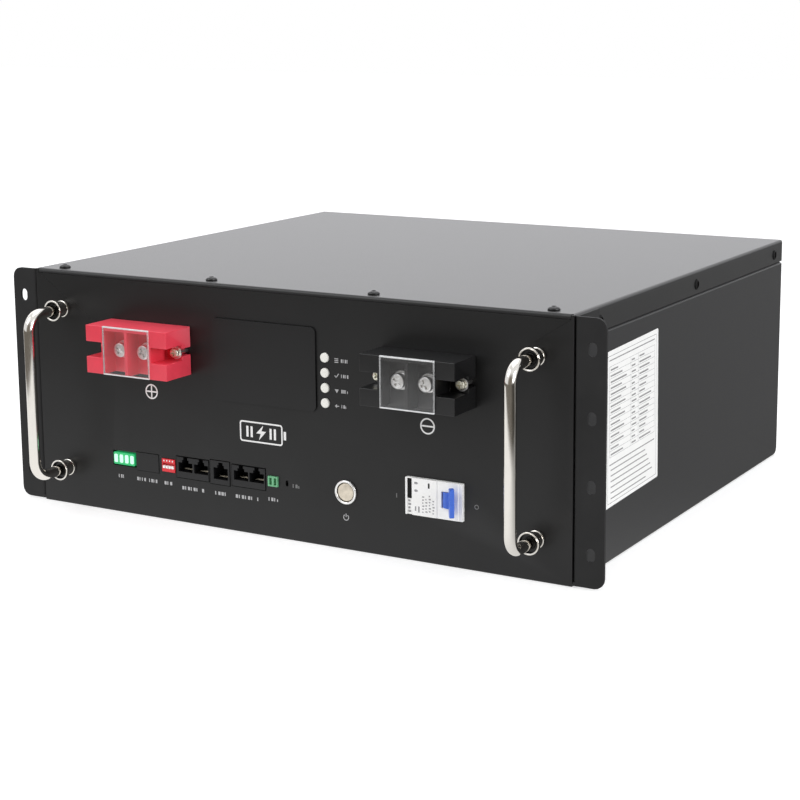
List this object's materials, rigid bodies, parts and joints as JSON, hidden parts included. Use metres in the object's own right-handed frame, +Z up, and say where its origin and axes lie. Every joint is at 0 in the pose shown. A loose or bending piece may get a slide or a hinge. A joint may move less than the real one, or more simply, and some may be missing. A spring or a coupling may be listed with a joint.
{
  "type": "server rack battery",
  "caption": "Rack-mount lithium battery in a folded black steel case, with bar handles, power terminals, display, breaker and data ports on the front.",
  "frame": {"origin": "centre of the underside of the case, midway between the front panel's outer face and the rear skirt of the lid", "axes": "+X to the right seen from the front, +Y to the rear, +Z up"},
  "size_m": [0.4826, 0.4375, 0.1796],
  "materials": {
    "powder_coat": "fine-textured satin black powder coat",
    "chrome": "bright nickel-chrome plate",
    "black_screw": "black oxide",
    "red_plastic": "moulded, satin",
    "black_plastic": "moulded, fine grain",
    "clear_plastic": "clear polycarbonate",
    "nickel": "bright nickel plate",
    "yellow_zinc": "yellow-passivated zinc",
    "white_plastic": "moulded, satin",
    "warm_nickel": "brushed, warm tint",
    "smoked_lens": "smoked, satin",
    "blue_plastic": "moulded, satin",
    "lit_green": "lit light-emitting diodes behind a clear bar",
    "green_plastic": "moulded",
    "circuit_board": "solder mask",
    "aluminium": "extruded",
    "copper": "bare copper",
    "cell_wrap": "shrink wrap"
  },
  "bodies": {
    "case": {"chassis": "powder_coat", "lid": "powder_coat", "front_panel": "powder_coat", "ear_left": "powder_coat", "ear_right": "powder_coat", "handle_left": "chrome", "handle_right": "chrome", "ferrule_left_lower": "chrome", "ferrule_left_upper": "chrome", "ferrule_right_lower": "chrome", "ferrule_right_upper": "chrome", "lid_screw_front_1": "black_screw", "lid_screw_front_2": "black_screw", "lid_screw_front_3": "black_screw", "lid_screw_front_4": "black_screw", "lid_screw_left_1": "black_screw", "lid_screw_left_2": "black_screw", "lid_screw_left_3": "black_screw", "lid_screw_right_1": "black_screw", "lid_screw_right_2": "black_screw", "lid_screw_right_3": "black_screw", "terminal_positive": "red_plastic", "dip_switch": "red_plastic", "terminal_negative": "black_plastic", "port_can": "black_plastic", "port_rs485": "black_plastic", "port_link": "black_plastic", "terminal_screw_positive_left": "nickel", "terminal_screw_positive_right": "nickel", "terminal_screw_negative_left": "nickel", "terminal_screw_negative_right": "nickel", "power_button_housing": "nickel", "block_screw_positive_left": "yellow_zinc", "block_screw_positive_right": "yellow_zinc", "block_screw_negative_left": "yellow_zinc", "block_screw_negative_right": "yellow_zinc", "breaker_body": "white_plastic", "display_window": "smoked_lens", "led_window": "smoked_lens", "led_bar": "lit_green", "dry_contact": "green_plastic", "interface_board": "circuit_board", "bms_board": "aluminium", "busbar_positive": "copper", "busbar_negative": "copper", "cell_stack_left": "cell_wrap", "cell_stack_right": "cell_wrap"},
    "breaker_lever": {"breaker_toggle": "blue_plastic"},
    "power_key": {"power_button_cap": "warm_nickel"},
    "reset_key": {"reset_button": "black_plastic"},
    "guard_positive": {"cover_positive": "clear_plastic"},
    "guard_negative": {"cover_negative": "clear_plastic"},
    "menu_key_1": {"button_menu_1": "white_plastic"},
    "dip_key_1": {"dip_lever_1": "white_plastic"},
    "menu_key_2": {"button_menu_2": "white_plastic"},
    "dip_key_2": {"dip_lever_2": "white_plastic"},
    "menu_key_3": {"button_menu_3": "white_plastic"},
    "dip_key_3": {"dip_lever_3": "white_plastic"},
    "menu_key_4": {"button_menu_4": "white_plastic"},
    "dip_key_4": {"dip_lever_4": "white_plastic"}
  },
  "joints": [
    {"name": "breaker_switch", "type": "hinge", "parent": "case", "child": "breaker_lever", "pos_m": [0.1295, -0.1975, 0.0459], "axis": [0, 0, -1], "range_deg": [0, 76]},
    {"name": "power_press", "type": "slide", "parent": "case", "child": "power_key", "axis": [0, 1, 0], "range_m": [0, 0.002]},
    {"name": "reset_press", "type": "slide", "parent": "case", "child": "reset_key", "axis": [0, 1, 0], "range_m": [0, 0.0006]},
    {"name": "menu_press_1", "type": "slide", "parent": "case", "child": "menu_key_1", "axis": [0, 1, 0], "range_m": [0, 0.0008]},
    {"name": "menu_press_2", "type": "slide", "parent": "case", "child": "menu_key_2", "axis": [0, 1, 0], "range_m": [0, 0.0008]},
    {"name": "menu_press_3", "type": "slide", "parent": "case", "child": "menu_key_3", "axis": [0, 1, 0], "range_m": [0, 0.0008]},
    {"name": "menu_press_4", "type": "slide", "parent": "case", "child": "menu_key_4", "axis": [0, 1, 0], "range_m": [0, 0.0008]},
    {"name": "dip_slide_1", "type": "slide", "parent": "case", "child": "dip_key_1", "axis": [0, 0, 1], "range_m": [0, 0.0016]},
    {"name": "dip_slide_2", "type": "slide", "parent": "case", "child": "dip_key_2", "axis": [0, 0, 1], "range_m": [0, 0.0016]},
    {"name": "dip_slide_3", "type": "slide", "parent": "case", "child": "dip_key_3", "axis": [0, 0, 1], "range_m": [0, 0.0016]},
    {"name": "dip_slide_4", "type": "slide", "parent": "case", "child": "dip_key_4", "axis": [0, 0, 1], "range_m": [0, 0.0016]},
    {"name": "guard_lift_positive", "type": "slide", "parent": "case", "child": "guard_positive", "axis": [0, -1, 0], "range_m": [0, 0.03]},
    {"name": "guard_lift_negative", "type": "slide", "parent": "case", "child": "guard_negative", "axis": [0, -1, 0], "range_m": [0, 0.03]}
  ]
}
